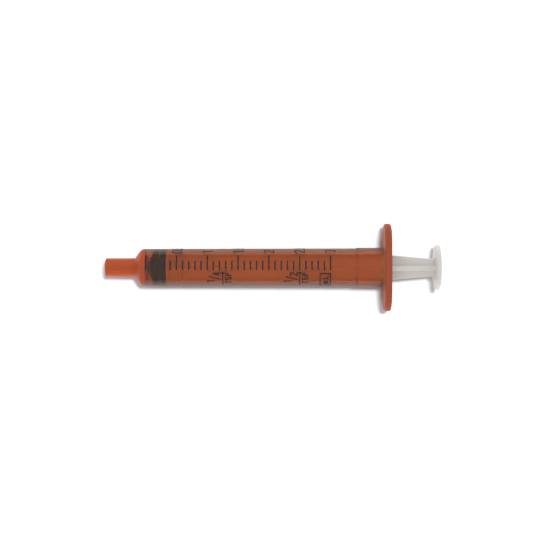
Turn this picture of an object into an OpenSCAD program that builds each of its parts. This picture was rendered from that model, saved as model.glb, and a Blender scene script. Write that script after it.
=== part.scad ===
// Oral syringe: a moulded barrel with its tip and finger flange, a rubber
// stopper, a cross-ribbed plunger rod, and the ink marks on the barrel.
// Millimetres. The syringe lies on its side: the axis is X, the open end of
// the tip is at the origin, and the thumb rest is at the far +X end.

/* [Capacity] */
// Volume at the last line of the scale, in millilitres
capacity_ml = 3; // [2:0.5:5]
// Volume that the plunger shows at rest, in millilitres
reading_ml = 0.1; // [0:0.1:1]

/* [Oral tip] */
// Outer diameter of the tip
tip_d = 5.2; // [4.6:0.1:6]
// Length of the straight tip
tip_len = 8.3; // [6:0.1:12]
// Diameter of the fluid channel through the tip
channel_d = 2; // [1.6:0.1:2.6]
// Rounding of the tip's outer edge
tip_round = 0.4; // [0.2:0.05:0.7]

/* [Barrel] */
// Diameter of the bore that the stopper slides in
bore_d = 8.66; // [7.2:0.01:10.4]
// Wall of the barrel just behind the shoulder
barrel_wall = 0.85; // [0.7:0.05:1.2]
// Growth of the outer radius along the barrel, which lets it leave the mould
barrel_draft = 0.16; // [0:0.02:0.3]
// Slope of the shoulder between tip and barrel, from the axis
shoulder_slope = 56; // [40:1:75]
// Rounding of the shoulder where it meets the barrel
shoulder_round = 1.45; // [0.5:0.05:1.8]
// Solid length between the end of the shoulder and the start of the bore
end_wall = 0.75; // [0.4:0.05:1.5]
// Free bore between the last line of the scale and the retaining bead
spare_len = 7.2; // [5:0.1:12]
// Height of the retaining bead inside the bore
bead_h = 0.13; // [0.06:0.01:0.2]
// Width of the retaining bead
bead_w = 0.6; // [0.4:0.1:1]
// Length of the thicker collar that starts over the bead and ends at the flange
collar_len = 7.85; // [5:0.05:12]
// Extra radius of the collar
collar_step = 0.17; // [0.1:0.01:0.4]

/* [Finger flange] */
// How far each finger wing reaches out from the collar
wing_reach = 6.74; // [5:0.01:10]
// How far the flange's flat sides stand out from the collar
flat_reach = 0.5; // [0.3:0.05:1.5]
// Thickness of the flange
flange_t = 1.95; // [1.5:0.05:3]
// Rounding of the flange's rim
flange_round = 0.6; // [0.3:0.05:0.7]
// Fillet between collar and flange
flange_fillet = 0.45; // [0.2:0.05:0.8]

/* [Stopper] */
// Length of the stopper from the edge of its front seal to its back face
seal_len = 3.7; // [3.2:0.1:6]
// Width of the front seal
front_seal_w = 1.75; // [1.2:0.05:2]
// Width of the groove between the two seals
groove_w = 0.45; // [0.3:0.05:0.8]
// Depth of the groove between the two seals
groove_h = 0.4; // [0.2:0.05:0.8]
// Slope of the nose, and of the bore's end that it seats in
nose_slope = 28; // [20:1:35]
// Diameter of the nose's flat tip
nose_d = 2.2; // [2:0.1:3]
// Radial clearance between the seals and the bore
seal_gap = 0.02; // [0.01:0.005:0.04]

/* [Plunger rod] */
// Thickness of the cross-shaped ribs
rib_t = 1.4; // [1:0.1:1.8]
// Radial clearance between the ribs and the bore
rib_gap = 0.68; // [0.4:0.02:1.2]
// Width across the ribs where they meet the thumb rest
grip_w = 4.9; // [4:0.1:6]
// Length over which the ribs narrow towards the thumb rest
grip_len = 14.3; // [8:0.1:20]
// Fillet between the ribs and the thumb rest
grip_fillet = 1.1; // [0.5:0.1:1.5]
// Radial clearance between the rod's discs and the bore
disc_gap = 0.24; // [0.22:0.01:0.5]
// Thickness of the disc that pushes the stopper
push_disc_t = 0.85; // [0.6:0.05:1.2]
// Distance between the front faces of the two discs
disc_pitch = 3.8; // [2.5:0.1:8]
// Thickness of the second disc
guide_disc_t = 0.45; // [0.4:0.05:1]
// Gap between flange and thumb rest when the plunger is pushed home
thumb_gap = 10.6; // [8:0.1:16]
// Turn of the ribs about the syringe's axis
rib_turn = 8; // [-45:1:45]

/* [Thumb rest] */
// Diameter of the thumb rest
thumb_d = 12.8; // [11:0.1:16]
// Thickness of the thumb rest at its rim
thumb_t = 1.3; // [1:0.1:2]
// Height of the thumb rest's crown over its rim
thumb_crown = 0.4; // [0.2:0.1:0.8]

/* [Snap joint] */
// Diameter of the rod's head, which snaps into the stopper
head_d = 4.4; // [4:0.1:5]
// Diameter of the neck behind the head
neck_d = 3.2; // [2.6:0.1:3.6]
// Thickness of the stopper's lip that holds the head
lip_t = 0.8; // [0.6:0.1:1.2]
// Length of the head's straight part
head_len = 1.2; // [0.8:0.1:1.6]
// Clearance between head and stopper, and between nose and bore end
snap_gap = 0.05; // [0.03:0.01:0.08]

/* [Ink marks] */
// Thickness of the ink
ink_t = 0.05; // [0.03:0.01:0.08]
// Width of the scale's lines
line_w = 0.38; // [0.25:0.01:0.5]
// Width of the strokes of numerals and letters
stroke_w = 0.34; // [0.25:0.01:0.4]
// Height of the millilitre numerals
numeral_h = 2.95; // [2:0.05:3.5]
// Height of the numerals in a teaspoon fraction
fraction_h = 2.2; // [1.8:0.1:2.6]
// Height of the unit's letters beside a teaspoon line
letter_h = 1.8; // [1.4:0.1:2]
// Height of the frame round the millilitre sign
frame_h = 3.2; // [2.8:0.1:4]

/* [Hidden] */
$fn = 96;
arc_steps = 8;

// Radii, worked out from the bore outwards and inwards
bore_r = bore_d / 2;
tube_r = bore_r + barrel_wall;
tube_back_r = tube_r + barrel_draft;
collar_r = tube_back_r + collar_step;
flat_half = collar_r + flat_reach;
wing_half = collar_r + wing_reach;
seal_r = bore_r - seal_gap;
rib_r = bore_r - rib_gap;
disc_r = bore_r - disc_gap;
nose_r = nose_d / 2;
nose_len = (seal_r - nose_r) * tan(nose_slope);

// Length of the shoulder: its straight slope, then its rounding
shoulder_rise = tube_r - tip_d / 2 - shoulder_round * (1 - cos(shoulder_slope));
shoulder_len = shoulder_rise / tan(shoulder_slope) + shoulder_round * sin(shoulder_slope);

// Places along the axis
tube_x = tip_len + shoulder_len;
bore_x = tube_x + end_wall;
zero_x = bore_x + snap_gap;
ml_len = 1000 / (PI * bore_r * bore_r);
full_x = zero_x + capacity_ml * ml_len;
bead_x = full_x + spare_len;
flange_x = bead_x + collar_len;
barrel_end_x = flange_x + flange_t;
home_thumb_x = barrel_end_x + thumb_gap;

// The plunger at rest, drawn out of the barrel by the reading
drawn = reading_ml * ml_len;
seal_x = zero_x + drawn;
seal_end_x = seal_x + seal_len;
push_x = seal_end_x + snap_gap;
guide_x = push_x + disc_pitch;
thumb_x = home_thumb_x + drawn;
grip_x = thumb_x - grip_len;

// Small mould details
bead_ramp = 0.3;
mouth_chamfer = 0.35;
thumb_round = 0.45;
seal_round = 0.2;
head_taper = 0.7;
pocket_taper = 0.8;

// Ink marks. Angles are about the axis, from the top towards +Y. Heights and
// rises in a fraction are in heights of its numerals, places in the sign are
// parts of its frame's width, and widths of characters are parts of a height.
line_base = -8.6;
short_line = 28.6;
long_line = 47.6;
lines_per_ml = 10;
lines_per_long = 5;
numeral_start = 57;
print_window = 40;
spoon_ml = 5;
spoon_fractions = [4, 2];
spoon_start = -14.4;
spoon_sweep = 50;
spoon_serif = 1.1;
slash_h = 1.7;
upper_digit_rise = 0.75;
frame_start = -17;
frame_line = 0.35;
frame_w = 4.8;
sign_l_place = 0.3;
sign_m_place = 0.68;
sign_m_h = 0.8;
letter_gap = 0.4;
glyph_aspect = 0.52;

// Points on an arc about [cx, cy], from one angle to another.
function arc(cx, cy, r, from, to) =
    [for (i = [0 : arc_steps])
        let (a = from + (to - from) * i / arc_steps)
        [cx + r * cos(a), cy + r * sin(a)]];

// Outer radius of the barrel at a place along the axis
function outer_r(x) =
    tube_r + barrel_draft * (x - tube_x) / (bead_x - tube_x);

// Turns what was drawn about Z so that it lies along X.
module along_axis() {
    rotate([0, 90, 0])
        children();
}

// Solid of revolution about X. The outline's points are [radius, place].
module turned(points) {
    along_axis()
        rotate_extrude()
            polygon(points);
}

// ---- Barrel ----

// Outside of the tip, shoulder, barrel and collar
module barrel_skin() {
    turned(concat(
        [[0, 0]],
        arc(tip_d / 2 - tip_round, tip_round, tip_round, -90, 0),
        [[tip_d / 2, tip_len]],
        arc(tube_r - shoulder_round, tube_x, shoulder_round, -shoulder_slope, 0),
        [
            [tube_back_r, bead_x],
            [collar_r, bead_x + collar_step],
        ],
        arc(collar_r + flange_fillet, flange_x - flange_fillet, flange_fillet, 180, 90),
        [
            [collar_r + flange_fillet, barrel_end_x - flange_round],
            [0, barrel_end_x - flange_round],
        ]
    ));
}

// Half of the flange's cross-section, with its rim rounded. [distance, place]
module flange_section(reach) {
    polygon(concat(
        [[0, 0]],
        arc(reach - flange_round, flange_round, flange_round, -90, 0),
        arc(reach - flange_round, flange_t - flange_round, flange_round, 0, 90),
        [[0, flange_t]]
    ));
}

// Oblong plate: two flat sides and two half-round wings
module flange_plate() {
    wing_centre = wing_half - flat_half;
    translate([flange_x, 0, 0])
        along_axis() {
            for (side = [-1, 1])
                translate([0, side * wing_centre, 0])
                    rotate([0, 0, side * 90 - 90])
                        rotate_extrude(angle = 180)
                            flange_section(flat_half);
            rotate([90, 0, 0])
                linear_extrude(2 * wing_centre, center = true)
                    for (side = [0, 1])
                        mirror([side, 0])
                            flange_section(flat_half);
        }
}

// Fluid channel, nose seat, bore, retaining bead and open mouth
module bore_hollow() {
    past_end = 1;
    seat_x = bore_x - (bore_r - nose_r) * tan(nose_slope);
    turned([
        [0, -past_end],
        [channel_d / 2, -past_end],
        [channel_d / 2, seat_x],
        [nose_r, seat_x],
        [bore_r, bore_x],
        [bore_r, bead_x],
        [bore_r - bead_h, bead_x + bead_ramp / 2],
        [bore_r - bead_h, bead_x + bead_w - bead_ramp / 2],
        [bore_r, bead_x + bead_w],
        [bore_r, barrel_end_x - mouth_chamfer],
        [bore_r + mouth_chamfer, barrel_end_x],
        [bore_r + mouth_chamfer, barrel_end_x + past_end],
        [0, barrel_end_x + past_end],
    ]);
}

module barrel() {
    color("sienna")
        difference() {
            union() {
                barrel_skin();
                flange_plate();
            }
            bore_hollow();
        }
}

// ---- Stopper ----

// Rubber stopper with a cone nose, two seals, and a pocket for the rod's head
module stopper() {
    groove_x = seal_x + front_seal_w;
    lip_x = seal_end_x - lip_t;
    pocket_r = head_d / 2 + snap_gap;
    pocket_x = lip_x - head_len - 2 * snap_gap;
    color("darkslategray")
        turned(concat(
            [
                [0, seal_x - nose_len],
                [nose_r, seal_x - nose_len],
                [seal_r, seal_x],
                [seal_r, groove_x],
                [seal_r - groove_h, groove_x + groove_w / 4],
                [seal_r - groove_h, groove_x + groove_w * 3 / 4],
                [seal_r, groove_x + groove_w],
            ],
            arc(seal_r - seal_round, seal_end_x - seal_round, seal_round, 0, 90),
            [
                [neck_d / 2 + snap_gap, seal_end_x],
                [neck_d / 2 + snap_gap, lip_x],
                [pocket_r, lip_x],
                [pocket_r, pocket_x],
                [pocket_r - pocket_taper, pocket_x - pocket_taper],
                [0, pocket_x - pocket_taper],
            ]
        ));
}

// ---- Plunger rod ----

// One flat rib, seen from the side, with a fillet at the thumb rest
module rib_outline() {
    grip_half = grip_w / 2;
    for (side = [0, 1])
        mirror([0, side])
            polygon(concat(
                [
                    [push_x, 0],
                    [push_x, rib_r],
                    [grip_x, rib_r],
                    [thumb_x - grip_fillet, grip_half],
                ],
                arc(thumb_x - grip_fillet, grip_half + grip_fillet, grip_fillet, -90, 0),
                [
                    [thumb_x + thumb_t / 2, grip_half + grip_fillet],
                    [thumb_x + thumb_t / 2, 0],
                ]
            ));
}

module ribs() {
    for (turn = [0, 90])
        rotate([turn, 0, 0])
            linear_extrude(rib_t, center = true)
                rib_outline();
}

// Disc on the axis, with its front face at the given place
module disc(x, radius, thickness) {
    translate([x, 0, 0])
        along_axis()
            cylinder(h = thickness, r = radius);
}

// Head and neck that snap into the stopper
module snap_head() {
    head_x = seal_end_x - lip_t - snap_gap - head_len;
    head_r = head_d / 2;
    turned([
        [0, head_x - head_taper],
        [head_r - head_taper, head_x - head_taper],
        [head_r, head_x],
        [head_r, head_x + head_len],
        [neck_d / 2, head_x + head_len],
        [neck_d / 2, push_x + push_disc_t / 2],
        [0, push_x + push_disc_t / 2],
    ]);
}

// Round thumb rest with a rounded rim and a slightly crowned back
module thumb_rest() {
    back_x = thumb_x + thumb_t;
    flat_r = thumb_d / 2 - thumb_round;
    crown_r = (flat_r * flat_r + thumb_crown * thumb_crown) / (2 * thumb_crown);
    crown_sweep = asin(flat_r / crown_r);
    turned(concat(
        [[0, thumb_x]],
        arc(flat_r, thumb_x + thumb_round, thumb_round, -90, 0),
        arc(flat_r, back_x - thumb_round, thumb_round, 0, 90),
        arc(0, back_x + thumb_crown - crown_r, crown_r, 90 - crown_sweep, 90)
    ));
}

module plunger_rod() {
    color("gainsboro")
        rotate([rib_turn, 0, 0]) {
            ribs();
            disc(push_x, disc_r, push_disc_t);
            disc(guide_x, disc_r, guide_disc_t);
            snap_head();
            thumb_rest();
        }
}

// ---- Ink marks ----

// Band round the barrel between two places and two angles. It starts at a
// height below the barrel's surface and ends at a height above it.
module band(from_x, to_x, from_angle, to_angle, below, above) {
    along_axis()
        rotate([0, 0, 180 - to_angle])
            rotate_extrude(angle = to_angle - from_angle)
                polygon([
                    [outer_r(from_x) - below, from_x],
                    [outer_r(from_x) + above, from_x],
                    [outer_r(to_x) + above, to_x],
                    [outer_r(to_x) - below, to_x],
                ]);
}

// Band of ink on the barrel's surface
module ink_band(from_x, to_x, from_angle, to_angle) {
    band(from_x, to_x, from_angle, to_angle, 0, ink_t);
}

// Line round the barrel, centred on a place along the axis
module ink_line(x, from_angle, sweep) {
    ink_band(x - line_w / 2, x + line_w / 2, from_angle, from_angle + sweep);
}

// Angle that a length takes up round the barrel
function sweep_of(length, x) = length / outer_r(x) * 180 / PI;

// Keeps of a flat drawing what lies in the ink. The drawing stands at a place
// and an angle, reads towards +Y, and has its top towards the tip.
module printed(x, angle) {
    intersection() {
        ink_band(x - frame_h, x + frame_h, angle - print_window, angle + print_window);
        rotate([-angle, 0, 0])
            translate([x, 0, outer_r(x) / 2])
                rotate([0, 0, 90])
                    linear_extrude(outer_r(x))
                        children();
    }
}

// Straight stroke between two points
module bar(from, to) {
    run = to - from;
    length = norm(run);
    translate(from)
        rotate(atan2(run[1], run[0]))
            translate([0, -stroke_w / 2])
                square([length, stroke_w]);
}

// Curved stroke about a centre, anticlockwise between two angles
module bow(centre, radius, from, to) {
    outer = radius + stroke_w / 2;
    past_outer = 1.5 * outer;
    translate(centre)
        difference() {
            circle(outer);
            circle(outer - stroke_w);
            rotate(to)
                gap_sector(past_outer, 360 - (to - from));
        }
}

// Sector that a curved stroke leaves open
module gap_sector(radius, sweep) {
    polygon(concat([[0, 0]], arc(0, 0, radius, 0, sweep)));
}

// Width of a character of the given height
function glyph_w(h) = h * glyph_aspect;

// Characters stand on y = 0 and are centred on x = 0.
module digit_0(h) {
    r = glyph_w(h) / 2 - stroke_w / 2;
    low = r + stroke_w / 2;
    bow([0, h - low], r, 0, 180);
    bow([0, low], r, 180, 360);
    for (side = [-1, 1])
        bar([side * r, low], [side * r, h - low]);
}

module digit_1(h) {
    low = stroke_w / 2;
    reach = glyph_w(h) * 0.45;
    flag_end = h * 0.84;
    flag_root = h * 0.99;
    polygon([
        [low, 0],
        [low, h],
        [-low, h],
        [-reach, flag_end],
        [-reach, flag_end - stroke_w],
        [-low, flag_root - stroke_w],
        [-low, 0],
    ]);
}

module digit_2(h) {
    r = glyph_w(h) / 2 - stroke_w / 2;
    low = stroke_w / 2;
    past_level = 35;
    bow([0, h - r - low], r, -past_level, 180);
    bar([-r, low], [r * cos(past_level), h - r - low - r * sin(past_level)]);
    bar([-r - low, low], [r + low, low]);
}

module digit_3(h) {
    r = (h - stroke_w) / 4;
    low = stroke_w / 2;
    open_end = 150;
    bow([0, h - r - low], r, -90, open_end);
    bow([0, r + low], r, -open_end, 90);
}

module digit_4(h) {
    half = glyph_w(h) / 2;
    stem = half * 0.4;
    cross = h * 0.3;
    bar([stem, 0], [stem, h]);
    bar([-half, cross], [half, cross]);
    bar([-half + stroke_w / 2, cross], [stem, h - stroke_w / 2]);
}

module digit_5(h) {
    r = (h - stroke_w) * 0.3;
    low = stroke_w / 2;
    stem = -r * 0.7;
    bow([0, r + low], r, -150, 130);
    bar([stem, h - low], [r, h - low]);
    bar([stem, h], [stem, r * 1.6]);
}

module digit(value, h) {
    if (value == 0) digit_0(h);
    if (value == 1) digit_1(h);
    if (value == 2) digit_2(h);
    if (value == 3) digit_3(h);
    if (value == 4) digit_4(h);
    if (value == 5) digit_5(h);
}

module point_mark() {
    translate([0, stroke_w / 2])
        square(stroke_w * 1.2, center = true);
}

module letter_t(h) {
    bar([0, 0], [0, h]);
    bar([-glyph_w(h) / 2, h - stroke_w / 2], [glyph_w(h) / 2, h - stroke_w / 2]);
}

module letter_s(h) {
    half = glyph_w(h) / 2;
    rise = (h - stroke_w) / 2;
    for (level = [0 : 2])
        translate([-half, level * rise])
            square([2 * half, stroke_w]);
    translate([half - stroke_w, 0])
        square([stroke_w, rise + stroke_w]);
    translate([-half, rise])
        square([stroke_w, rise + stroke_w]);
}

module letter_p(h) {
    r = (h - stroke_w) / 4;
    half = glyph_w(h) / 2;
    low = stroke_w / 2;
    bar([-half + low, 0], [-half + low, h]);
    for (y = [h - low, h - low - 2 * r])
        bar([-half + low, y], [0, y]);
    bow([0, h - low - r], r, -90, 90);
}

module letter_m(h) {
    r = glyph_w(h) * 0.3;
    bow_y = h - r - stroke_w / 2;
    for (side = [-1, 1]) {
        bow([side * r, bow_y], r, 0, 180);
        bar([side * 2 * r, 0], [side * 2 * r, bow_y]);
    }
    bar([0, 0], [0, bow_y]);
}

module letter_l(h) {
    half = glyph_w(h) / 2;
    bar([-half + stroke_w / 2, 0], [-half + stroke_w / 2, h]);
    bar([-half, stroke_w / 2], [half, stroke_w / 2]);
}

// Lines of the millilitre scale, every fifth one long
module scale_lines() {
    color("black")
        for (i = [0 : capacity_ml * lines_per_ml])
            ink_line(zero_x + i * ml_len / lines_per_ml, line_base,
                i % lines_per_long == 0 ? long_line : short_line);
}

// Numerals at the long lines: 0.5, 1, 1.5 and so on
module scale_numerals() {
    pitch = sweep_of(glyph_w(numeral_h) + letter_gap, full_x);
    point_pitch = sweep_of(2 * letter_gap, full_x);
    color("black")
        for (half_ml = [1 : capacity_ml * 2]) {
            x = zero_x + half_ml * ml_len / 2;
            base_x = x + numeral_h / 2;
            whole = floor(half_ml / 2);
            printed(base_x, numeral_start)
                digit(whole, numeral_h);
            if (half_ml % 2 == 1) {
                printed(base_x, numeral_start + pitch / 2 + point_pitch / 2)
                    point_mark();
                printed(base_x, numeral_start + pitch + point_pitch)
                    digit(5, numeral_h);
            }
        }
}

// A quarter and half of a teaspoon: line, fraction on the tip side of the
// line, and the unit's letters on the other side
module teaspoon_marks() {
    pitch = sweep_of(glyph_w(letter_h) + letter_gap, full_x);
    fraction_pitch = sweep_of(glyph_w(fraction_h), full_x);
    color("black")
        for (part = spoon_fractions) {
            x = zero_x + spoon_ml / part * ml_len;
            base_x = x - line_w / 2 - letter_gap;
            low_angle = spoon_start - fraction_pitch / 2;
            printed(x, spoon_start - spoon_sweep / 2)
                spoon_line(x);
            printed(base_x, low_angle)
                digit(part, fraction_h);
            printed(base_x, low_angle - fraction_pitch)
                slash(fraction_h);
            printed(base_x - fraction_h * upper_digit_rise, low_angle - fraction_pitch * 2)
                digit(1, fraction_h);
            for (i = [0 : 2])
                printed(x + line_w / 2 + letter_gap + letter_h,
                    spoon_start - pitch * (i + 0.5))
                    spoon_letter(i);
        }
}

// Sloping stroke of a fraction whose numerals have the given height
module slash(h) {
    half = glyph_w(h) / 2;
    bar([-half, 0], [half, h * slash_h]);
}

// Line of a teaspoon mark, with a cross stroke at its end
module spoon_line(x) {
    half = outer_r(x) * sin(spoon_sweep / 2);
    translate([-half, -line_w / 2])
        square([2 * half, line_w]);
    translate([half - line_w, -spoon_serif / 2])
        square([line_w, spoon_serif]);
}

// Letters of the teaspoon unit, counted from the last one back
module spoon_letter(index) {
    if (index == 0) letter_p(letter_h);
    if (index == 1) letter_s(letter_h);
    if (index == 2) letter_t(letter_h);
}

// Framed sign of the millilitre beside the end of the scale
module unit_sign() {
    frame_sweep = sweep_of(frame_w, full_x);
    line_sweep = sweep_of(frame_line, full_x);
    from_x = full_x - frame_h + line_w / 2;
    to_x = full_x + line_w / 2;
    low_angle = frame_start - frame_sweep;
    base_x = to_x - frame_h / 2 + letter_h / 2;
    color("black") {
        difference() {
            ink_band(from_x, to_x, low_angle, frame_start);
            band(from_x + frame_line, to_x - frame_line,
                low_angle + line_sweep, frame_start - line_sweep, ink_t, 2 * ink_t);
        }
        printed(base_x, frame_start - frame_sweep * sign_l_place)
            letter_l(letter_h);
        printed(base_x, frame_start - frame_sweep * sign_m_place)
            letter_m(letter_h * sign_m_h);
    }
}

barrel();
stopper();
plunger_rod();
scale_lines();
scale_numerals();
teaspoon_marks();
unit_sign();
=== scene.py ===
"""Oral syringe: amber barrel, rubber stopper and milky plunger rod, dressed for a studio picture.

Pieces are modelled in millimetres and scaled to the frame's metres when they are finished.
The syringe's axis is X, from the open end of the tip to the thumb rest. Z is up.
"""

import logging
import math
from dataclasses import dataclass
from enum import Enum
from typing import Callable

import bpy
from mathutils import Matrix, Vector


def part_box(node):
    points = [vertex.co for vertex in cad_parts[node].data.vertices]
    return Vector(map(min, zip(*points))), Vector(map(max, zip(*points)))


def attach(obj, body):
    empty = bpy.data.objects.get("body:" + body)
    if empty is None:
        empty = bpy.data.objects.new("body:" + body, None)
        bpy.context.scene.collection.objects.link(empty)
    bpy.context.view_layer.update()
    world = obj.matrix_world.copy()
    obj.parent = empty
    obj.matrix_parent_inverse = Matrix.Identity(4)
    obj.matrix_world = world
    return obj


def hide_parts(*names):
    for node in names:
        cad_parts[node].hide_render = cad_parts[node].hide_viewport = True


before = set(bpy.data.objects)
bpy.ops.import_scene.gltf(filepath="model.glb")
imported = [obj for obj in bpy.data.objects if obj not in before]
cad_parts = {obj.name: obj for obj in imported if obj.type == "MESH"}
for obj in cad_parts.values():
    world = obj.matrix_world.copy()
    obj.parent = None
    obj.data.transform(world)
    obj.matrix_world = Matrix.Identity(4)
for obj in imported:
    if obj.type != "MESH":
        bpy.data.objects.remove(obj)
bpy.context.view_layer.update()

MM = 0.001
# Places closer than this, in millimetres, are the same place.
NEAR = 1e-3
# Vertices closer than this, in millimetres, are merged.
DOUBLED = 1e-4
# A face looks along a direction when its normal's share of it is larger than this.
ALIGNED = 0.9
# Steps round the axis: large turned solids, the stopper, discs and flange, and the rod's small head.
SEGMENTS = 160
STOPPER_SEGMENTS = 128
DISC_SEGMENTS = 96
HEAD_SEGMENTS = 64
LOG = logging.getLogger("oral_syringe")

Point = tuple[float, float]
Colour = tuple[float, float, float, float]


class Slot(Enum):
    """Material slots of the record."""

    AMBER = "amber_plastic"
    RUBBER = "stopper_rubber"
    ROD = "rod_plastic"
    INK = "ink"


class Body(Enum):
    """Bodies of the frame that the pieces ride on."""

    BARREL = "barrel"
    STOPPER = "stopper"
    PLUNGER = "plunger"


class Cut(Enum):
    """Ways to combine two solids."""

    JOIN = "UNION"
    REMOVE = "DIFFERENCE"


@dataclass(frozen=True)
class Span:
    """Extent of a CAD node at rest, in millimetres.

    Attributes:
        low: Lowest corner.
        high: Highest corner.
    """

    low: Vector
    high: Vector

    @classmethod
    def of(cls, node: str) -> "Span":
        """Reads a CAD node's extent from the frame.

        Args:
            node: Name of the CAD node.

        Returns:
            The node's extent.
        """
        low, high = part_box(node)
        return cls(Vector(low) / MM, Vector(high) / MM)


# ---------------------------------------------------------------------------
# Finishes
# ---------------------------------------------------------------------------


def linear(hex_colour: str) -> Colour:
    """Turns an sRGB hex colour into linear values.

    Args:
        hex_colour: Colour such as "#a45234".

    Returns:
        Red, green, blue and an alpha of 1.
    """
    digits = hex_colour.lstrip("#")
    values = [int(digits[i : i + 2], 16) / 255 for i in (0, 2, 4)]
    curve = [v / 12.92 if v <= 0.04045 else ((v + 0.055) / 1.055) ** 2.4 for v in values]
    return (curve[0], curve[1], curve[2], 1.0)


def add_node(tree: bpy.types.NodeTree, kind: str, settings: dict, links: dict) -> bpy.types.Node:
    """Adds a shader node with its settings and links.

    Args:
        tree: Node tree to add to.
        kind: Node type, such as "ShaderNodeTexNoise".
        settings: Node properties by name, and input values by socket name or number.
        links: Output sockets, by the name or number of the input that each feeds.

    Returns:
        The new node.
    """
    node = tree.nodes.new(kind)
    for name, value in settings.items():
        if isinstance(name, int) or name in node.inputs:
            node.inputs[name].default_value = value
        else:
            setattr(node, name, value)
    for name, socket in links.items():
        tree.links.new(socket, node.inputs[name])
    return node


@dataclass(frozen=True)
class Finish:
    """A moulded or printed surface whose colour drifts a little and whose skin has a fine grain.

    Attributes:
        name: Name of the material.
        colour: Main colour, sRGB hex.
        drift_colour: Colour that the main one drifts towards, sRGB hex.
        ior: Index of refraction.
        roughness: Lowest and highest roughness.
        drift_mm: Size of the patches of colour and roughness.
        grain_mm: Size of the skin's grain.
        grain_depth_mm: Height of the skin's grain.
        noise_detail: Number of finer layers in each pattern.
    """

    name: str
    colour: str
    drift_colour: str
    ior: float
    roughness: Point
    drift_mm: float
    grain_mm: float
    grain_depth_mm: float
    noise_detail: float = 3.0

    def build(self) -> bpy.types.Material:
        """Makes the material.

        Returns:
            The finished material.
        """
        material = bpy.data.materials.new(self.name)
        material.use_nodes = True
        tree = material.node_tree
        shader = tree.nodes["Principled BSDF"]
        shader.inputs["IOR"].default_value = self.ior
        place = add_node(tree, "ShaderNodeTexCoord", {}, {}).outputs["Object"]
        drift = self.noise(tree, place, self.drift_mm)
        grain = self.noise(tree, place, self.grain_mm)
        tint = add_node(
            tree,
            "ShaderNodeMix",
            {"data_type": "RGBA", 6: linear(self.colour), 7: linear(self.drift_colour)},
            {0: drift},
        )
        roughness = add_node(
            tree,
            "ShaderNodeMapRange",
            {"To Min": self.roughness[0], "To Max": self.roughness[1]},
            {"Value": drift},
        )
        bump = add_node(
            tree,
            "ShaderNodeBump",
            {"Distance": self.grain_depth_mm * MM},
            {"Height": grain},
        )
        tree.links.new(roughness.outputs["Result"], shader.inputs["Roughness"])
        tree.links.new(bump.outputs["Normal"], shader.inputs["Normal"])
        self.dress(tree, shader, place, tint.outputs[2])
        return material

    def noise(
        self, tree: bpy.types.NodeTree, place: bpy.types.NodeSocket, size_mm: float
    ) -> bpy.types.NodeSocket:
        """Adds a noise pattern.

        Args:
            tree: The material's node tree.
            place: Coordinates that the pattern follows.
            size_mm: Size of the pattern's patches.

        Returns:
            The pattern's value, from 0 to 1.
        """
        settings = {"Scale": 1 / (size_mm * MM), "Detail": self.noise_detail}
        return add_node(tree, "ShaderNodeTexNoise", settings, {"Vector": place}).outputs["Fac"]

    def dress(
        self,
        tree: bpy.types.NodeTree,
        shader: bpy.types.Node,
        place: bpy.types.NodeSocket,
        tint: bpy.types.NodeSocket,
    ) -> None:
        """Gives the shader its colour.

        Args:
            tree: The material's node tree.
            shader: Its Principled shader.
            place: Object coordinates. Not used here.
            tint: The drifting colour.
        """
        tree.links.new(tint, shader.inputs["Base Color"])


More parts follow.
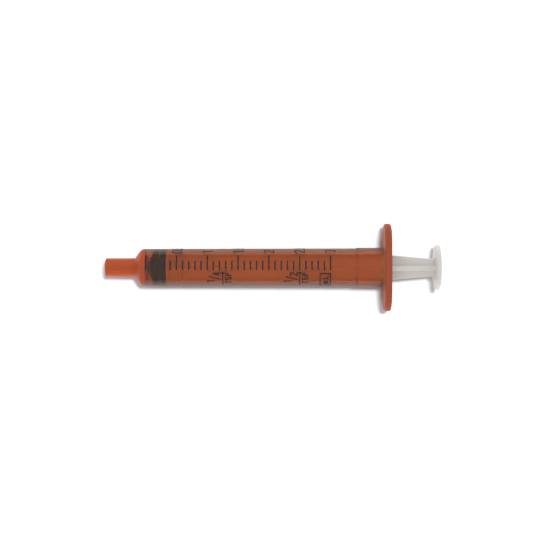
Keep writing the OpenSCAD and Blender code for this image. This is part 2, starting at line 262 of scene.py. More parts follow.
@dataclass(frozen=True)
class AmberPolypropylene(Finish):
    """Moulded amber polypropylene: clear in the thin tube, hazy in the thick tip and flange, with
    painted shade darkening the tube where it is seen edge on.

    Attributes:
        tip_colour: Colour of the thick tip and shoulder, sRGB hex.
        flange_colour: Colour of the thick flange, sRGB hex.
        painted_edge_shade_colour: Painted shade: darker brown given to the clear tube where it is
            seen edge on, sRGB hex. It follows the direction of view.
        tip_clear: Share of light that the tip and shoulder let in.
        flange_clear: Share of light that the flange lets in.
        haze_roughness: Roughness of the thick ends and of the wall seen edge on.
        haze_gloss: Gloss of the hazy share of the surface.
        tube_mm: Where the tube starts and ends along the axis.
        blend_mm: Length over which haze gives way to clear.
        grazing: Facing values between which the painted edge shade and the rougher edge come in.
        depth_colour: Colour that passes best through the thickness, sRGB hex.
        depth_mm: Thickness that soaks up what is left out of that colour.
    """

    tip_colour: str = "#e8793a"
    flange_colour: str = "#b35d42"
    # Painted shade: dark brown for the tube seen edge on.
    painted_edge_shade_colour: str = "#6a3a20"
    tip_clear: float = 0.62
    flange_clear: float = 0.05
    haze_roughness: float = 0.42
    haze_gloss: float = 0.05
    tube_mm: Point = (11.5, 77.0)
    blend_mm: float = 0.5
    grazing: Point = (0.24, 0.4)
    depth_colour: str = "#feeac4"
    depth_mm: float = 1.0

    def dress(
        self,
        tree: bpy.types.NodeTree,
        shader: bpy.types.Node,
        place: bpy.types.NodeSocket,
        tint: bpy.types.NodeSocket,
    ) -> None:
        """Lets light in, less where the moulding is thick, soaks some up on the way, and paints shade
        where the tube is seen edge on.

        Args:
            tree: The material's node tree.
            shader: Its Principled shader.
            place: Object coordinates.
            tint: The drifting colour of the tube.
        """
        along = add_node(tree, "ShaderNodeSeparateXYZ", {}, {"Vector": place}).outputs["X"]
        start, end = (x * MM for x in self.tube_mm)
        blend = self.blend_mm * MM
        past_tip = self.ramp(tree, along, (start - blend, start))
        before_flange = self.ramp(tree, along, (end + blend, end))
        in_tube = add_node(
            tree, "ShaderNodeMath", {"operation": "MULTIPLY"}, {0: past_tip, 1: before_flange}
        ).outputs["Value"]
        facing = add_node(tree, "ShaderNodeLayerWeight", {"Blend": 0.5}, {}).outputs["Facing"]
        face_on = self.ramp(tree, facing, (self.grazing[1], self.grazing[0]))
        # Painted shade: the tube's colour turns dark brown where it is seen edge on, following the
        # direction of view.
        tube_with_painted_edge_shade = add_node(
            tree,
            "ShaderNodeMix",
            {"data_type": "RGBA", 6: linear(self.painted_edge_shade_colour)},
            {0: face_on, 7: tint},
        )
        front = add_node(
            tree,
            "ShaderNodeMix",
            {"data_type": "RGBA", 6: linear(self.tip_colour)},
            {0: past_tip, 7: tube_with_painted_edge_shade.outputs[2]},
        )
        colour = add_node(
            tree,
            "ShaderNodeMix",
            {"data_type": "RGBA", 6: linear(self.flange_colour)},
            {0: before_flange, 7: front.outputs[2]},
        )
        front_clear = add_node(
            tree, "ShaderNodeMapRange", {"To Min": self.tip_clear}, {"Value": past_tip}
        )
        back_clear = add_node(
            tree, "ShaderNodeMapRange", {"To Min": self.flange_clear}, {"Value": before_flange}
        )
        clear = add_node(
            tree,
            "ShaderNodeMath",
            {"operation": "MULTIPLY"},
            {0: front_clear.outputs["Result"], 1: back_clear.outputs["Result"]},
        )
        polished = add_node(
            tree, "ShaderNodeMath", {"operation": "MULTIPLY"}, {0: in_tube, 1: face_on}
        )
        roughness = add_node(
            tree,
            "ShaderNodeMix",
            {"data_type": "FLOAT", 2: self.haze_roughness},
            {0: polished.outputs["Value"], 3: shader.inputs["Roughness"].links[0].from_socket},
        )
        depth = add_node(
            tree,
            "ShaderNodeVolumeAbsorption",
            {"Color": linear(self.depth_colour), "Density": 1 / (self.depth_mm * MM)},
            {},
        )
        output = tree.nodes["Material Output"]
        shader.inputs["Specular IOR Level"].default_value = self.haze_gloss
        tree.links.new(roughness.outputs["Result"], shader.inputs["Roughness"])
        tree.links.new(colour.outputs[2], shader.inputs["Base Color"])
        tree.links.new(clear.outputs["Value"], shader.inputs["Transmission Weight"])
        tree.links.new(depth.outputs["Volume"], output.inputs["Volume"])

    def ramp(
        self, tree: bpy.types.NodeTree, value: bpy.types.NodeSocket, span: Point
    ) -> bpy.types.NodeSocket:
        """Adds a smooth step from 0 to 1.

        Args:
            tree: The material's node tree.
            value: Value that the step follows.
            span: Values at which the step is 0 and 1.

        Returns:
            The step.
        """
        settings = {
            "interpolation_type": "SMOOTHSTEP",
            "From Min": span[0],
            "From Max": span[1],
        }
        return add_node(tree, "ShaderNodeMapRange", settings, {"Value": value}).outputs["Result"]


# Injection-moulded amber polypropylene: a polished mould leaves it glossy, with a faint waviness.
AMBER = AmberPolypropylene(
    name="amber_polypropylene_moulded",
    colour="#ffb966",
    drift_colour="#fdb35f",
    ior=1.49,
    roughness=(0.1, 0.16),
    drift_mm=9.0,
    grain_mm=2.2,
    grain_depth_mm=0.006,
)


@dataclass(frozen=True)
class MilkyPolypropylene(Finish):
    """Moulded natural polypropylene, which light enters and spreads in.

    Attributes:
        spread: Share of light that enters.
        reach_mm: How far it spreads.
        reach_by_colour: Share of that reach for red, green and blue light.
    """

    spread: float = 0.35
    reach_mm: float = 0.8
    reach_by_colour: tuple[float, float, float] = (1.0, 0.95, 0.85)

    def dress(
        self,
        tree: bpy.types.NodeTree,
        shader: bpy.types.Node,
        place: bpy.types.NodeSocket,
        tint: bpy.types.NodeSocket,
    ) -> None:
        """Gives the shader its colour and its milky depth.

        Args:
            tree: The material's node tree.
            shader: Its Principled shader.
            place: Object coordinates, passed on to the base finish, which does not use them.
            tint: The drifting colour.
        """
        super().dress(tree, shader, place, tint)
        shader.inputs["Subsurface Weight"].default_value = self.spread
        shader.inputs["Subsurface Radius"].default_value = self.reach_by_colour
        shader.inputs["Subsurface Scale"].default_value = self.reach_mm * MM


# Injection-moulded natural polypropylene: milky, warm white, with a satin skin.
NATURAL = MilkyPolypropylene(
    name="natural_polypropylene_moulded",
    colour="#ecebe7",
    drift_colour="#e3e2dd",
    ior=1.49,
    roughness=(0.38, 0.5),
    drift_mm=7.0,
    grain_mm=0.6,
    grain_depth_mm=0.004,
)
# Compression-moulded bromobutyl rubber: dark neutral grey, with a dry satin skin.
RUBBER = Finish(
    name="bromobutyl_rubber_moulded",
    colour="#2b2e33",
    drift_colour="#24272b",
    ior=1.52,
    roughness=(0.5, 0.65),
    drift_mm=2.5,
    grain_mm=0.2,
    grain_depth_mm=0.006,
)
# Pad-printed black ink: a thin matt film, a little brown where it is thinner.
INK = Finish(
    name="black_ink_pad_printed",
    colour="#17110e",
    drift_colour="#2a1c15",
    ior=1.5,
    roughness=(0.5, 0.65),
    drift_mm=0.8,
    grain_mm=0.15,
    grain_depth_mm=0.004,
)


# ---------------------------------------------------------------------------
# Modelling helpers
# ---------------------------------------------------------------------------


def arc(centre: Point, radius: float, start: float, end: float, steps: int = 8) -> list[Point]:
    """Points on a circular arc. Angle 0 points away from the axis and 90 to the thumb rest.

    Args:
        centre: Place along the axis, and distance from it.
        radius: Radius of the arc.
        start: First angle in degrees.
        end: Last angle in degrees.
        steps: Number of straight stretches.

    Returns:
        Points as place along the axis and distance from it.
    """
    angles = [math.radians(start + (end - start) * i / steps) for i in range(steps + 1)]
    return [(centre[0] + radius * math.sin(a), centre[1] + radius * math.cos(a)) for a in angles]


def activate(piece: bpy.types.Object) -> None:
    """Makes a piece the only selected and active object.

    Args:
        piece: Object to select.
    """
    bpy.ops.object.select_all(action="DESELECT")
    piece.select_set(True)
    bpy.context.view_layer.objects.active = piece


def start_piece(name: str) -> bpy.types.Object:
    """Names the primitive that was just added and opens it in edit mode.

    Args:
        name: Name of the piece.

    Returns:
        The piece.
    """
    piece = bpy.context.object
    piece.name = name
    activate(piece)
    bpy.ops.object.transform_apply(location=True, rotation=True, scale=True)
    bpy.ops.object.mode_set(mode="EDIT")
    bpy.ops.mesh.select_mode(type="VERT")
    bpy.ops.mesh.select_all(action="SELECT")
    return piece


def pick_vertices(piece: bpy.types.Object, wanted: Callable[[Vector], bool]) -> None:
    """Selects the vertices that stand at wanted places, in edit mode.

    Args:
        piece: Object in edit mode.
        wanted: Test of a place, in millimetres.
    """
    bpy.ops.mesh.select_mode(type="VERT")
    bpy.ops.mesh.select_all(action="DESELECT")
    bpy.ops.object.mode_set(mode="OBJECT")
    for vertex in piece.data.vertices:
        vertex.select = wanted(vertex.co)
    bpy.ops.object.mode_set(mode="EDIT")


def pick_edges(piece: bpy.types.Object, wanted: Callable[[Vector, Vector], bool]) -> None:
    """Selects the edges whose two ends are wanted, in edit mode.

    Args:
        piece: Object in edit mode.
        wanted: Test of an edge's two ends, in millimetres.
    """
    bpy.ops.mesh.select_mode(type="EDGE")
    bpy.ops.mesh.select_all(action="DESELECT")
    bpy.ops.object.mode_set(mode="OBJECT")
    points = [vertex.co.copy() for vertex in piece.data.vertices]
    for edge in piece.data.edges:
        edge.select = wanted(points[edge.vertices[0]], points[edge.vertices[1]])
    bpy.ops.object.mode_set(mode="EDIT")


def pick_faces(piece: bpy.types.Object, wanted: Callable[[bpy.types.MeshPolygon], bool]) -> None:
    """Selects the wanted faces, in edit mode.

    Args:
        piece: Object in edit mode.
        wanted: Test of a face, whose places are in millimetres.
    """
    bpy.ops.mesh.select_mode(type="FACE")
    bpy.ops.mesh.select_all(action="DESELECT")
    bpy.ops.object.mode_set(mode="OBJECT")
    for face in piece.data.polygons:
        face.select = wanted(face)
    bpy.ops.object.mode_set(mode="EDIT")


def close_up() -> None:
    """Merges doubled vertices of the mesh in edit mode, turns its faces outwards and leaves it."""
    bpy.ops.mesh.select_all(action="SELECT")
    bpy.ops.mesh.remove_doubles(threshold=DOUBLED)
    bpy.ops.mesh.normals_make_consistent(inside=False)
    bpy.ops.object.mode_set(mode="OBJECT")


def turned(name: str, outline: list[Point], segments: int = SEGMENTS) -> bpy.types.Object:
    """Makes a turned solid by spinning an outline about the axis.

    Args:
        name: Name of the piece.
        outline: Points as place along the axis and distance from it, from axis to axis.
        segments: Number of steps round the axis.

    Returns:
        The piece, in millimetres.
    """
    bpy.ops.object.select_all(action="DESELECT")
    bpy.ops.mesh.primitive_plane_add(size=1.0, location=(outline[0][0], 0, outline[0][1]))
    piece = start_piece(name)
    bpy.ops.mesh.merge(type="CENTER")
    for here, there in zip(outline, outline[1:]):
        move = (there[0] - here[0], 0, there[1] - here[1])
        bpy.ops.mesh.extrude_vertices_move(TRANSFORM_OT_translate={"value": move})
    bpy.ops.mesh.select_all(action="SELECT")
    bpy.ops.mesh.spin(steps=segments, angle=math.tau, center=(0, 0, 0), axis=(1, 0, 0))
    close_up()
    return piece


def combine(piece: bpy.types.Object, other: bpy.types.Object, cut: Cut) -> None:
    """Joins another solid to this one, or takes it away, and removes the other.

    Args:
        piece: Solid that changes.
        other: Solid that is joined or taken away.
        cut: Which of the two.
    """
    activate(piece)
    modifier = piece.modifiers.new("combine", "BOOLEAN")
    modifier.object = other
    modifier.operation = cut.value
    modifier.solver = "EXACT"
    bpy.ops.object.modifier_apply(modifier=modifier.name)
    bpy.data.objects.remove(other, do_unlink=True)


def smooth(piece: bpy.types.Object, angle: float = 32.0) -> None:
    """Shades a piece smooth, keeps edges sharper than an angle, and lets flats stay flat.

    Args:
        piece: Piece to shade.
        angle: Smallest angle of a sharp edge, in degrees.
    """
    activate(piece)
    bpy.ops.object.shade_smooth_by_angle(angle=math.radians(angle))
    modifier = piece.modifiers.new("flat_faces", "WEIGHTED_NORMAL")
    modifier.keep_sharp = True
    bpy.ops.object.modifier_apply(modifier=modifier.name)


def hand_over(
    piece: bpy.types.Object, finish: Finish, body: Body, node: str
) -> None:
    """Scales a finished piece to metres, dresses it, ties it to its body and hides the CAD node that
    it stands for.

    Args:
        piece: Finished piece, in millimetres.
        finish: Its finish.
        body: Body that it rides on.
        node: CAD node that it stands for.
    """
    activate(piece)
    piece.scale = (MM, MM, MM)
    bpy.ops.object.transform_apply(location=True, rotation=True, scale=True)
    piece.data.materials.clear()
    piece.data.materials.append(finish.build())
    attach(piece, body.value)
    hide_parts(node)
    LOG.info("%s: %d faces on %s", piece.name, len(piece.data.polygons), body.value)


# ---------------------------------------------------------------------------
# Barrel
# ---------------------------------------------------------------------------


@dataclass(frozen=True)
class Barrel:
    """Barrel with its tip, shoulder, collar and finger flange. Sizes in millimetres.

    Attributes:
        node: CAD node that it stands for.
        tip_r: Outer radius of the tip.
        tip_len: Length of the straight tip.
        channel_r: Radius of the fluid channel.
        tip_round: Rounding of the tip's outer edge.
        tip_fillet: Fillet between tip and shoulder.
        bore_r: Radius of the bore.
        tube_r: Outer radius just behind the shoulder.
        tube_back_r: Outer radius in front of the collar.
        shoulder_slope: Slope of the shoulder from the axis, in degrees.
        shoulder_round: Rounding between shoulder and tube.
        shoulder_steps: Number of straight stretches in that rounding.
        end_wall: Length from the end of the shoulder to the start of the bore.
        nose_r: Radius of the seat's small end.
        nose_slope: Slope of the seat that the stopper's nose rests in.
        bead: Height and width of the retaining bead.
        bead_steps: Number of straight stretches across the bead.
        collar_step: Extra radius of the collar.
        collar_len: Length of the collar.
        flange_t: Thickness of the flange.
        flange_round: Rounding of the flange's rim.
        flange_fillet: Fillet between collar and flange.
        flange_bite: How far that fillet reaches into the flange, so that the two join.
        mouth_chamfer: Chamfer of the open mouth.
    """

    node: str = "barrel"
    tip_r: float = 2.6
    tip_len: float = 8.3
    channel_r: float = 1.0
    tip_round: float = 0.4
    tip_fillet: float = 0.35
    bore_r: float = 4.33
    tube_r: float = 5.18
    tube_back_r: float = 5.34
    shoulder_slope: float = 56.0
    shoulder_round: float = 1.45
    shoulder_steps: int = 14
    end_wall: float = 0.75
    nose_r: float = 1.1
    nose_slope: float = 28.0
    bead: Point = (0.13, 0.6)
    bead_steps: int = 8
    collar_step: float = 0.17
    collar_len: float = 7.85
    flange_t: float = 1.95
    flange_round: float = 0.6
    flange_fillet: float = 0.45
    flange_bite: float = 0.04
    mouth_chamfer: float = 0.35

    @property
    def end_x(self) -> float:
        """Back face of the flange."""
        return Span.of(self.node).high.x

    @property
    def flange_x(self) -> float:
        """Front face of the flange."""
        return self.end_x - self.flange_t

    @property
    def bead_x(self) -> float:
        """Start of the retaining bead and of the collar."""
        return self.flange_x - self.collar_len

    @property
    def tube_x(self) -> float:
        """End of the shoulder, where the straight tube starts."""
        slope = math.radians(self.shoulder_slope)
        rise = self.tube_r - self.tip_r - self.shoulder_round * (1 - math.cos(slope))
        return self.tip_len + rise / math.tan(slope) + self.shoulder_round * math.sin(slope)

    @property
    def bore_x(self) -> float:
        """Place where the bore reaches its full radius."""
        return self.tube_x + self.end_wall

    @property
    def collar_r(self) -> float:
        """Outer radius of the collar."""
        return self.tube_back_r + self.collar_step

    def skin(self) -> bpy.types.Object:
        """Makes the solid outside of tip, shoulder, tube and collar.

        Returns:
            The solid.
        """
        slope = self.shoulder_slope
        fillet = self.tip_fillet
        set_back = fillet * math.tan(math.radians(slope) / 2)
        fillet_x = self.flange_x - self.flange_fillet + self.flange_bite
        outline = [(0.0, 0.0)]
        outline += arc((self.tip_round, self.tip_r - self.tip_round), self.tip_round, -90, 0)
        outline += arc((self.tip_len - set_back, self.tip_r + fillet), fillet, 180, 180 - slope)
        rounding_at = (self.tube_x, self.tube_r - self.shoulder_round)
        outline += arc(rounding_at, self.shoulder_round, -slope, 0, self.shoulder_steps)
        outline += [
            (self.bead_x, self.tube_back_r),
            (self.bead_x + self.collar_step, self.collar_r),
        ]
        outline += arc(
            (fillet_x, self.collar_r + self.flange_fillet), self.flange_fillet, 180, 90
        )
        outline += [
            (self.end_x - self.flange_round, self.collar_r + self.flange_fillet),
            (self.end_x - self.flange_round, 0.0),
        ]
        return turned("barrel_moulding", outline)

    def flange(self) -> bpy.types.Object:
        """Makes the oblong finger flange from a round plate whose halves are moved apart.

        Returns:
            The solid.
        """
        span = Span.of(self.node)
        flat_half = span.high.z
        apart = span.high.y - flat_half
        middle = (self.flange_x + self.end_x) / 2
        half_step = math.pi / DISC_SEGMENTS
        bpy.ops.object.select_all(action="DESELECT")
        bpy.ops.mesh.primitive_cylinder_add(
            vertices=DISC_SEGMENTS,
            radius=flat_half / math.cos(half_step),
            depth=self.flange_t,
            location=(middle, 0, 0),
            rotation=(0, math.pi / 2, 0),
        )
        plate = start_piece("flange_plate")
        bpy.ops.transform.rotate(
            value=half_step, orient_axis="X", center_override=(middle, 0, 0)
        )
        for side in (-1, 1):
            pick_vertices(plate, lambda p: p.y * side > 0)
            bpy.ops.transform.translate(value=(0, side * apart, 0))
        pick_edges(plate, lambda a, b: abs(a.x - b.x) < NEAR)
        bpy.ops.mesh.bevel(offset=self.flange_round, segments=7, affect="EDGES")
        close_up()
        return plate

    def hollow(self) -> bpy.types.Object:
        """Makes the solid that is taken away: channel, seat, bore, bead and mouth.

        Returns:
            The solid.
        """
        past = 1.0
        bead_h, bead_w = self.bead
        seat_x = self.bore_x - (self.bore_r - self.nose_r) * math.tan(math.radians(self.nose_slope))
        steps = self.bead_steps
        swell = [
            (
                self.bead_x + bead_w * i / steps,
                self.bore_r - bead_h * math.sin(math.pi * i / steps),
            )
            for i in range(steps + 1)
        ]
        outline = [(-past, 0.0), (-past, self.channel_r), (seat_x, self.channel_r)]
        outline += [(seat_x, self.nose_r), (self.bore_x, self.bore_r)]
        outline += swell
        outline += [
            (self.end_x - self.mouth_chamfer, self.bore_r),
            (self.end_x + past, self.bore_r + self.mouth_chamfer + past),
            (self.end_x + past, 0.0),
        ]
        return turned("bore_hollow", outline)

    def build(self) -> bpy.types.Object:
        """Builds and dresses the barrel.

        Returns:
            The barrel.
        """
        barrel = self.skin()
        combine(barrel, self.flange(), Cut.JOIN)
        combine(barrel, self.hollow(), Cut.REMOVE)
        smooth(barrel)
        hand_over(barrel, AMBER, Body.BARREL, self.node)
        return barrel


# ---------------------------------------------------------------------------
# Stopper
# ---------------------------------------------------------------------------


@dataclass(frozen=True)
class Stopper:
    """Rubber stopper with a cone nose and two seals that press on the bore. Sizes in millimetres.

    Attributes:
        node: CAD node that it stands for.
        nose_r: Radius of the nose's flat tip.
        nose_slope: Slope of the nose, in degrees.
        nose_chamfer: Length and width of the chamfer round the nose's flat tip.
        squeeze: How far the seals stand past the CAD's, pressed against the bore.
        front_w: Width of the front seal.
        groove_w: Width of the groove.
        groove_h: Depth of the groove.
        groove_lean: Angle by which the roundings beside and in the groove stop short of upright.
        groove_inset: How much less than half the groove's width its floor's rounding is.
        edge_round: Rounding of the seals' edges.
        edge_steps: Number of straight stretches in the rounding beside the groove.
        floor_steps: Number of straight stretches in each half of the groove's floor.
        neck_r: Radius of the hole for the rod's neck.
        pocket_r: Radius of the pocket for the rod's head.
        lip_t: Thickness of the lip that holds the head.
        pocket_len: Length of the pocket's straight part.
        pocket_taper: Length of the pocket's tapered end.
    """

    node: str = "stopper"
    nose_r: float = 1.1
    nose_slope: float = 28.0
    nose_chamfer: Point = (0.05, 0.1)
    squeeze: float = 0.035
    front_w: float = 1.75
    groove_w: float = 0.45
    groove_h: float = 0.4
    groove_lean: float = 10.0
    groove_inset: float = 0.08
    edge_round: float = 0.2
    edge_steps: int = 5
    floor_steps: int = 4
    neck_r: float = 1.65
    pocket_r: float = 2.25
    lip_t: float = 0.8
    pocket_len: float = 1.3
    pocket_taper: float = 0.8

    def build(self) -> bpy.types.Object:
        """Builds and dresses the stopper.

        Returns:
            The stopper.
        """
        span = Span.of(self.node)
        end_x = span.high.x
        seal_r = span.high.z + self.squeeze
        rise = span.high.z - self.nose_r
        seal_x = span.low.x + rise * math.tan(math.radians(self.nose_slope))
        edge = self.edge_round
        groove_x = seal_x + self.front_w
        back_x = groove_x + self.groove_w
        floor_r = seal_r - self.groove_h
        lip_x = end_x - self.lip_t
        pocket_x = lip_x - self.pocket_len
        chamfer_len, chamfer_w = self.nose_chamfer
        outline = [(span.low.x, 0.0), (span.low.x, self.nose_r - chamfer_w)]
        outline += [(span.low.x + chamfer_len, self.nose_r)]
        outline += arc((seal_x + edge, seal_r - edge), edge, self.nose_slope - 90, 0)
        steep = 90 - self.groove_lean
        past_steep = 90 + self.groove_lean
        floor_at = (groove_x + self.groove_w / 2, floor_r + edge / 2)
        floor_round = self.groove_w / 2 - self.groove_inset
        small = edge / 2
        outline += arc((groove_x - small, seal_r - small), small, 0, steep, self.edge_steps)
        outline += arc(floor_at, floor_round, -past_steep, -180, self.floor_steps)
        outline += arc(floor_at, floor_round, 180, past_steep, self.floor_steps)
        outline += arc((back_x + small, seal_r - small), small, -steep, 0, self.edge_steps)
        outline += arc((end_x - edge, seal_r - edge), edge, 0, 90)
        outline += [
            (end_x, self.neck_r),
            (lip_x, self.neck_r),
            (lip_x, self.pocket_r),
            (pocket_x, self.pocket_r),
            (pocket_x - self.pocket_taper, self.pocket_r - self.pocket_taper),
            (pocket_x - self.pocket_taper, 0.0),
        ]
        stopper = turned("rubber_stopper", outline, STOPPER_SEGMENTS)
        smooth(stopper)
        hand_over(stopper, RUBBER, Body.STOPPER, self.node)
        return stopper


# ---------------------------------------------------------------------------
# Plunger rod
# ---------------------------------------------------------------------------


@dataclass(frozen=True)
class PlungerRod:
    """Cross-ribbed rod with its snap head, two discs and a thumb rest. Sizes in millimetres.

    Attributes:
        node: CAD node that it stands for.
        stopper_node: CAD node of the stopper that it pushes.
        rib_t: Thickness of a rib at the core.
        rib_edge_t: Thickness of a rib at its outer edge.
        rib_r: Reach of a rib from the axis.
        rib_round: Rounding of the ribs' outer edges.
        core_fillet: Fillet between two ribs.
        rib_turn: Turn of the ribs about the axis, in degrees.
        grip_half: Reach of a rib at the thumb rest.
        grip_len: Length over which the ribs narrow.
        grip_fillet: Fillet between rib and thumb rest.
        flare_step: Angle between the stations along that fillet, in degrees.
        disc_r: Radius of the discs.
        push_t: Thickness of the disc behind the stopper.
        guide_t: Thickness of the second disc.
        disc_pitch: Distance between the discs' front faces.
        disc_round: Rounding of the discs' rims.
        gap: Clearance between head and stopper.
        thumb_t: Thickness of the thumb rest at its rim.
        thumb_round: Rounding of the thumb rest's rim.
        thumb_crown: Height of the thumb rest's crown.
        head_r: Radius of the head.
        head_len: Length of the head's straight part.
        head_taper: Length of the head's tapered end.
        neck_r: Radius of the neck.
        lip_t: Thickness of the stopper's lip.
        edge_slack: How far inside a rib's reach a place still counts as on its outer edge.
    """

    node: str = "plunger_rod"
    stopper_node: str = "stopper"
    rib_t: float = 1.4
    rib_edge_t: float = 1.24
    rib_r: float = 3.65
    rib_round: float = 0.16
    core_fillet: float = 0.3
    rib_turn: float = 8.0
    grip_half: float = 2.45
    grip_len: float = 14.3
    grip_fillet: float = 1.1
    flare_step: int = 15
    disc_r: float = 4.09
    push_t: float = 0.85
    guide_t: float = 0.45
    disc_pitch: float = 3.8
    disc_round: float = 0.1
    gap: float = 0.05
    thumb_t: float = 1.3
    thumb_round: float = 0.45
    thumb_crown: float = 0.4
    head_r: float = 2.2
    head_len: float = 1.2
    head_taper: float = 0.7
    neck_r: float = 1.6
    lip_t: float = 0.8
    edge_slack: float = 0.01

    @property
    def push_x(self) -> float:
        """Front face of the disc behind the stopper."""
        return Span.of(self.stopper_node).high.x + self.gap

    @property
    def thumb_x(self) -> float:
        """Front face of the thumb rest."""
        return Span.of(self.node).high.x - self.thumb_crown - self.thumb_t

    def rib_reach(self, x: float) -> float:
        """Finds how far a rib reaches from the axis.

        Args:
            x: Place along the axis.

        Returns:
            The rib's reach there.
        """
        grip_x = self.thumb_x - self.grip_len
        flare_x = self.thumb_x - self.grip_fillet
        if x <= grip_x:
            return self.rib_r
        if x <= flare_x:
            share = (x - grip_x) / (flare_x - grip_x)
            return self.rib_r + (self.grip_half - self.rib_r) * share
        run = min(x - flare_x, self.grip_fillet)
        return self.grip_half + self.grip_fillet - math.sqrt(self.grip_fillet**2 - run**2)

    def ribs(self) -> bpy.types.Object:
        """Makes the cross of four ribs from a square core whose sides are drawn out.

        Returns:
            The solid.
        """
        start = self.push_x + self.push_t / 2
        end = self.thumb_x + self.thumb_t / 2
        bpy.ops.object.select_all(action="DESELECT")
        bpy.ops.mesh.primitive_cube_add(
            size=1.0,
            location=((start + end) / 2, 0, 0),
            scale=(end - start, self.rib_t, self.rib_t),
        )
        ribs = start_piece("rod_ribs")
        for side in (Vector((0, 1, 0)), Vector((0, -1, 0)), Vector((0, 0, 1)), Vector((0, 0, -1))):
            self.draw_out(ribs, side)
        angles = range(0, 91, self.flare_step)
        flare = [self.grip_fillet * math.sin(math.radians(angle)) for angle in angles]
        stations = [self.thumb_x - self.grip_len]
        stations += [self.thumb_x - self.grip_fillet + run for run in flare]
        for x in stations:
            bpy.ops.mesh.select_all(action="SELECT")
            bpy.ops.mesh.bisect(plane_co=(x, 0, 0), plane_no=(1, 0, 0))
        for x in [start, *stations, end]:
            self.shape_ring(ribs, x)
        self.round_edges(ribs)
        close_up()
        return ribs

    def draw_out(self, ribs: bpy.types.Object, side: Vector) -> None:
        """Draws one side of the core out into a rib.

        Args:
            ribs: The core, in edit mode.
            side: Direction of the rib.
        """
        half = self.rib_t / 2
        middle = side * half

        def core_side(face: bpy.types.MeshPolygon) -> bool:
            """Tells whether a face is the core's own face on this side."""
            return face.normal.dot(side) > ALIGNED and (face.center - middle).yz.length < NEAR

        pick_faces(ribs, core_side)
        bpy.ops.mesh.extrude_region_move(
            TRANSFORM_OT_translate={"value": side * (self.rib_r - half)}
        )

    def shape_ring(self, ribs: bpy.types.Object, x: float) -> None:
        """Brings the ribs' outer edges at one place to their reach and thickness there.

        Args:
            ribs: The ribs, in edit mode.
            x: Place along the axis.
        """
        reach = self.rib_reach(x) / self.rib_r
        thin = self.rib_edge_t / self.rib_t
        edge = self.rib_r - self.edge_slack
        pick_vertices(ribs, lambda p: abs(p.x - x) < NEAR and abs(p.z) > edge)
        bpy.ops.transform.resize(value=(1, thin, reach), center_override=(x, 0, 0))
        pick_vertices(ribs, lambda p: abs(p.x - x) < NEAR and abs(p.y) > edge)
        bpy.ops.transform.resize(value=(1, reach, thin), center_override=(x, 0, 0))

    def round_edges(self, ribs: bpy.types.Object) -> None:
        """Fillets the corners between the ribs and rounds their outer edges.

        Args:
            ribs: The ribs, in edit mode.
        """
        half = self.rib_t / 2

        def inner(p: Vector) -> bool:
            """Tells whether a place is on a corner between two ribs."""
            return abs(abs(p.y) - half) < NEAR and abs(abs(p.z) - half) < NEAR

        def outer(p: Vector) -> bool:
            """Tells whether a place is on a rib's outer edge."""
            return max(abs(p.y), abs(p.z)) > self.grip_half - self.edge_slack

        def along(a: Vector, b: Vector) -> bool:
            """Tells whether an edge runs along the axis."""
            return abs(a.x - b.x) > NEAR

        pick_edges(ribs, lambda a, b: along(a, b) and inner(a) and inner(b))
        bpy.ops.mesh.bevel(offset=self.core_fillet, segments=3, affect="EDGES")
        pick_edges(ribs, lambda a, b: along(a, b) and outer(a) and outer(b))
        bpy.ops.mesh.bevel(offset=self.rib_round, segments=3, affect="EDGES")

    def disc(self, name: str, x: float, thickness: float) -> bpy.types.Object:
        """Makes a disc with a rounded rim.

        Args:
            name: Name of the disc.
            x: Place of its front face.
            thickness: Its thickness.

        Returns:
            The solid.
        """
        bpy.ops.object.select_all(action="DESELECT")
        bpy.ops.mesh.primitive_cylinder_add(
            vertices=DISC_SEGMENTS,
            radius=self.disc_r,
            depth=thickness,
            location=(x + thickness / 2, 0, 0),
            rotation=(0, math.pi / 2, 0),
        )
        disc = start_piece(name)
        pick_edges(disc, lambda a, b: abs(a.x - b.x) < NEAR)
        bpy.ops.mesh.bevel(offset=self.disc_round, segments=3, affect="EDGES")
        close_up()
        return disc

    def snap_head(self) -> bpy.types.Object:
        """Makes the head and neck that snap into the stopper.

        Returns:
            The solid.
        """
        head_x = self.push_x - self.gap - self.lip_t - self.gap - self.head_len
        outline = [
            (head_x - self.head_taper, 0.0),
            (head_x - self.head_taper, self.head_r - self.head_taper),
            (head_x, self.head_r),
            (head_x + self.head_len, self.head_r),
            (head_x + self.head_len, self.neck_r),
            (self.push_x + self.push_t / 2, self.neck_r),
            (self.push_x + self.push_t / 2, 0.0),
        ]
        return turned("snap_head", outline, HEAD_SEGMENTS)

    def thumb_rest(self) -> bpy.types.Object:
        """Makes the round thumb rest with a rounded rim and a crowned back.

        Returns:
            The solid.
        """
        back_x = self.thumb_x + self.thumb_t
        flat_r = Span.of(self.node).high.y - self.thumb_round
        crown_r = (flat_r**2 + self.thumb_crown**2) / (2 * self.thumb_crown)
        sweep = math.degrees(math.asin(flat_r / crown_r))
        rim = self.thumb_round
        outline = [(self.thumb_x, 0.0)]
        outline += arc((self.thumb_x + rim, flat_r), rim, -90, 0)
        outline += arc((back_x - rim, flat_r), rim, 0, 90)
        outline += arc((back_x + self.thumb_crown - crown_r, 0.0), crown_r, 90 - sweep, 90)[1:]
        return turned("thumb_rest", outline)

    def build(self) -> bpy.types.Object:
        """Builds and dresses the plunger rod.

        Returns:
            The rod.
        """
        rod = self.ribs()
        rod.name = "plunger_moulding"
        combine(rod, self.disc("push_disc", self.push_x, self.push_t), Cut.JOIN)
        guide_x = self.push_x + self.disc_pitch
        combine(rod, self.disc("guide_disc", guide_x, self.guide_t), Cut.JOIN)
        combine(rod, self.snap_head(), Cut.JOIN)
        combine(rod, self.thumb_rest(), Cut.JOIN)
        rod.rotation_euler = (math.radians(self.rib_turn), 0, 0)
        smooth(rod)
        hand_over(rod, NATURAL, Body.PLUNGER, self.node)
        return rod


# ---------------------------------------------------------------------------
# Ink marks and studio
# ---------------------------------------------------------------------------


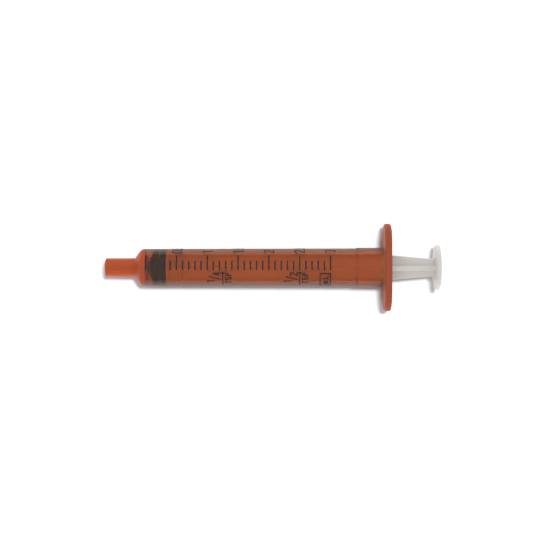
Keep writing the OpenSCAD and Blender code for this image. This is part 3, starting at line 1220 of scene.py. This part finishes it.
@dataclass(frozen=True)
class InkMarks:
    """The printed marks on the barrel, which keep the CAD's shapes.

    Attributes:
        nodes: CAD nodes of the marks.
    """

    nodes: tuple[str, ...] = ("scale_lines", "scale_numerals", "teaspoon_marks", "unit_sign")

    def dress(self) -> None:
        """Gives every mark the printing ink."""
        ink = INK.build()
        for name in self.nodes:
            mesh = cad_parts[name].data
            mesh.materials.clear()
            mesh.materials.append(ink)
            LOG.info("%s: dressed in %s", name, ink.name)


@dataclass(frozen=True)
class Studio:
    """White table, soft light and a camera straight above. Sizes in metres.

    Attributes:
        camera_place: Place of the camera.
        lens_mm: Focal length.
        sensor_mm: Sensor width.
        table_size: Width of the table.
        table_colour: Colour of the table, sRGB hex.
        table_roughness: Roughness of the table.
        horizon: Brightness of the room near the horizon.
        zenith: Brightness of the room overhead.
        lamp_place: Place of the lamp over the table.
        lamp_size: Width of the lamp.
        lamp_power: Power of the lamp, in watts.
    """

    camera_place: tuple[float, float, float] = (0.04725, -0.0021, 0.350)
    lens_mm: float = 82.0
    sensor_mm: float = 36.0
    table_size: float = 6.0
    table_colour: str = "#d0d0d2"
    table_roughness: float = 0.9
    horizon: float = 0.6
    zenith: float = 0.85
    lamp_place: tuple[float, float, float] = (0.145, 0.09, 0.65)
    lamp_size: float = 0.1
    lamp_power: float = 6.2

    def table(self) -> bpy.types.Object:
        """Makes the white table that the syringe lies on.

        Returns:
            The table.
        """
        low = min(Span.of(name).low.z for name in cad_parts) * MM
        bpy.ops.object.select_all(action="DESELECT")
        bpy.ops.mesh.primitive_plane_add(size=self.table_size, location=(0, 0, low))
        table = bpy.context.object
        table.name = "table"
        material = bpy.data.materials.new("white_matt_laminate")
        material.use_nodes = True
        shader = material.node_tree.nodes["Principled BSDF"]
        shader.inputs["Base Color"].default_value = linear(self.table_colour)
        shader.inputs["Roughness"].default_value = self.table_roughness
        shader.inputs["Specular IOR Level"].default_value = 0.0
        table.data.materials.append(material)
        return table

    def room(self) -> None:
        """Makes the room's light, which changes from the horizon to overhead."""
        world = bpy.data.worlds.new("white_room")
        bpy.context.scene.world = world
        world.use_nodes = True
        tree = world.node_tree
        place = add_node(tree, "ShaderNodeTexCoord", {}, {}).outputs["Generated"]
        up = add_node(tree, "ShaderNodeSeparateXYZ", {}, {"Vector": place}).outputs["Z"]
        brightness = add_node(
            tree,
            "ShaderNodeMapRange",
            {"From Min": 0.0, "From Max": 1.0, "To Min": self.horizon, "To Max": self.zenith},
            {"Value": up},
        )
        background = tree.nodes["Background"]
        background.inputs["Color"].default_value = linear("#ffffff")
        tree.links.new(brightness.outputs["Result"], background.inputs["Strength"])

    def lamp(self, table: bpy.types.Object) -> None:
        """Hangs the soft lamp that lights the table, so that the syringe has no glare.

        Args:
            table: The table.
        """
        data = bpy.data.lights.new("table_lamp", "AREA")
        data.size = self.lamp_size
        data.energy = self.lamp_power
        lamp = bpy.data.objects.new("table_lamp", data)
        lamp.location = self.lamp_place
        bpy.context.scene.collection.objects.link(lamp)
        lit = bpy.data.collections.new("lit_by_table_lamp")
        lit.objects.link(table)
        lamp.light_linking.receiver_collection = lit

    def camera(self) -> None:
        """Adds the camera, looking straight down with the tip to the left."""
        data = bpy.data.cameras.new("camera")
        data.lens = self.lens_mm
        data.sensor_width = self.sensor_mm
        camera = bpy.data.objects.new("camera", data)
        camera.location = self.camera_place
        bpy.context.scene.collection.objects.link(camera)
        bpy.context.scene.camera = camera

    def build(self) -> None:
        """Builds the whole studio."""
        self.lamp(self.table())
        self.room()
        self.camera()
        bpy.context.scene.view_settings.view_transform = "Standard"
        LOG.info("studio: table, lamp, room and camera")


def main() -> None:
    logging.basicConfig(level=logging.INFO, format="%(name)s: %(message)s")
    Barrel().build()
    Stopper().build()
    PlungerRod().build()
    InkMarks().dress()
    Studio().build()


if __name__ == "__main__":
    main()
